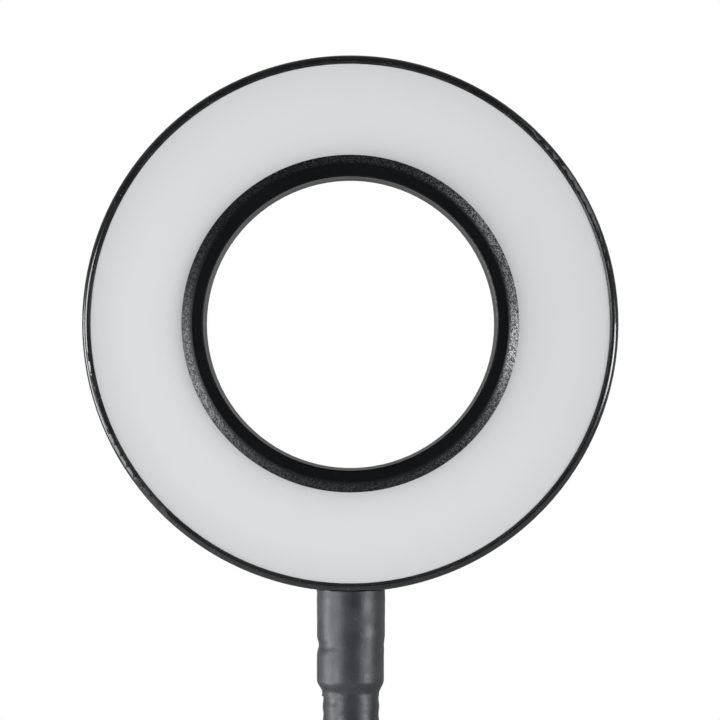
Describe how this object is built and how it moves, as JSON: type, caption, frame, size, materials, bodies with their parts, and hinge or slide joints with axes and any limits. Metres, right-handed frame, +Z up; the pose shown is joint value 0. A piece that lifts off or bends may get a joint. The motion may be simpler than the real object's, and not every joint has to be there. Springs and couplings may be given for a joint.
{
  "type": "gooseneck ring light",
  "caption": "Small ring light with a diffused annular lamp on a bendable gooseneck, with a push-button pod and a screw clamp for a desk edge.",
  "frame": {"origin": "centre of the clamp's upper rubber pad, on its lower face, which lies on the desk top", "axes": "+Z up out of the desk, the ring faces -Y towards the person at the desk, +X to that person's right"},
  "size_m": [0.09, 0.0867, 0.5247],
  "materials": {
    "front_shell": "polished black moulding",
    "back_shell": "fine spark-eroded black",
    "diffuser": "milky diffusing plastic, unlit",
    "inner_bezel": "black, grained slope",
    "reflector": "white moulding",
    "led_board": "white solder mask",
    "leds_cool": "clear gel over pale phosphor",
    "leds_warm": "clear gel over amber phosphor",
    "small_screws": "zinc, dark",
    "connectors": "natural nylon",
    "lead": "soft jacket",
    "ferrule": "turned and plated",
    "nut": "zinc",
    "boot": "matte shrink sleeve",
    "hose": "wound steel",
    "cover": "matte rubber skin",
    "pod_housing": "fine grained black",
    "control_board": "green solder mask",
    "tact_switches": "black body",
    "power_inlet": "drawn shell",
    "buttons": "dark grey, satin",
    "clamp_frame": "glass-filled, grained",
    "pads": "matte pad",
    "thread_insert": "turned",
    "pressure_pad": "zinc casting, turned",
    "clamp_spindle": "rolled thread, plated",
    "clamp_knob": "grained black"
  },
  "bodies": {
    "base": {"clamp_frame": "clamp_frame", "jaw_pad": "pads", "thread_insert": "thread_insert", "pod_housing": "pod_housing", "pod_screws": "small_screws", "control_board": "control_board", "tact_switches": "tact_switches", "power_inlet": "power_inlet", "pod_connector": "connectors", "pod_lead": "lead", "lower_ferrule": "ferrule", "lower_nut": "nut", "lower_boot": "boot", "hose_00": "hose", "cover_00": "cover"},
    "neck_01": {"hose_01": "hose", "cover_01": "cover"},
    "neck_02": {"hose_02": "hose", "cover_02": "cover"},
    "neck_03": {"hose_03": "hose", "cover_03": "cover"},
    "neck_04": {"hose_04": "hose", "cover_04": "cover"},
    "neck_05": {"hose_05": "hose", "cover_05": "cover"},
    "neck_06": {"hose_06": "hose", "cover_06": "cover"},
    "neck_07": {"hose_07": "hose", "cover_07": "cover"},
    "neck_08": {"hose_08": "hose", "cover_08": "cover"},
    "neck_09": {"hose_09": "hose", "cover_09": "cover"},
    "head": {"front_shell": "front_shell", "back_shell": "back_shell", "shell_screws": "small_screws", "diffuser": "diffuser", "inner_bezel": "inner_bezel", "reflector": "reflector", "led_board": "led_board", "leds_cool": "leds_cool", "leds_warm": "leds_warm", "board_screws": "small_screws", "board_connector": "connectors", "head_lead": "lead", "upper_ferrule": "ferrule", "ferrule_nut": "nut", "upper_boot": "boot", "hose_10": "hose", "cover_10": "cover"},
    "power_button": {"power_button": "buttons"},
    "brighter_button": {"brighter_button": "buttons"},
    "dimmer_button": {"dimmer_button": "buttons"},
    "pressure_pad": {"pressure_pad": "pressure_pad", "pad_face": "pads"},
    "clamp_screw": {"clamp_spindle": "clamp_spindle", "pad_clip": "small_screws", "clamp_knob": "clamp_knob"}
  },
  "joints": [
    {"name": "bend_01", "type": "hinge", "parent": "base", "child": "neck_01", "pos_m": [0, 0.012, 0.0557], "axis": [1, 0, 0], "range_deg": [-37, 19]},
    {"name": "bend_02", "type": "hinge", "parent": "neck_01", "child": "neck_02", "pos_m": [0, 0.00762, 0.08336], "axis": [0, 0.9877, 0.1564], "range_deg": [-28, 28]},
    {"name": "bend_03", "type": "hinge", "parent": "neck_02", "child": "neck_03", "pos_m": [0, 0.00324, 0.11101], "axis": [1, 0, 0], "range_deg": [-39, 17]},
    {"name": "bend_04", "type": "hinge", "parent": "neck_03", "child": "neck_04", "pos_m": [0, -0.00634, 0.13732], "axis": [0, 0.9397, 0.342], "range_deg": [-28, 28]},
    {"name": "bend_05", "type": "hinge", "parent": "neck_04", "child": "neck_05", "pos_m": [0, -0.01591, 0.16363], "axis": [1, 0, 0], "range_deg": [-28, 28]},
    {"name": "bend_06", "type": "hinge", "parent": "neck_05", "child": "neck_06", "pos_m": [0, -0.02549, 0.18994], "axis": [0, 0.9397, 0.342], "range_deg": [-28, 28]},
    {"name": "bend_07", "type": "hinge", "parent": "neck_06", "child": "neck_07", "pos_m": [0, -0.03507, 0.21626], "axis": [1, 0, 0], "range_deg": [-17, 39]},
    {"name": "bend_08", "type": "hinge", "parent": "neck_07", "child": "neck_08", "pos_m": [0, -0.03945, 0.24391], "axis": [0, 0.9877, 0.1564], "range_deg": [-28, 28]},
    {"name": "bend_09", "type": "hinge", "parent": "neck_08", "child": "neck_09", "pos_m": [0, -0.04383, 0.27157], "axis": [1, 0, 0], "range_deg": [-19, 37]},
    {"name": "bend_10", "type": "hinge", "parent": "neck_09", "child": "head", "pos_m": [0, -0.04383, 0.29957], "axis": [0, 1, 0], "range_deg": [-28, 28]},
    {"name": "dimmer_press", "type": "slide", "parent": "base", "child": "dimmer_button", "axis": [0, 0, -1], "range_m": [0, 0.0005], "stiffness_N_per_m": 1500, "springref_m": -0.0002},
    {"name": "power_press", "type": "slide", "parent": "base", "child": "power_button", "axis": [0, 0, -1], "range_m": [0, 0.0005], "stiffness_N_per_m": 1500, "springref_m": -0.0002},
    {"name": "brighter_press", "type": "slide", "parent": "base", "child": "brighter_button", "axis": [0, 0, -1], "range_m": [0, 0.0005], "stiffness_N_per_m": 1500, "springref_m": -0.0002},
    {"name": "screw_travel", "type": "slide", "parent": "base", "child": "pressure_pad", "axis": [0, 0, 1], "range_m": [-0.0075, 0.0325]},
    {"name": "screw_turn", "type": "hinge", "parent": "pressure_pad", "child": "clamp_screw", "pos_m": [0, 0, -0.05], "axis": [0, 0, 1], "range_deg": [-1352, 5852]}
  ],
  "couplings": [
    {"joint": "screw_turn", "follows": "screw_travel", "rad_per_m": 3141.6}
  ]
}
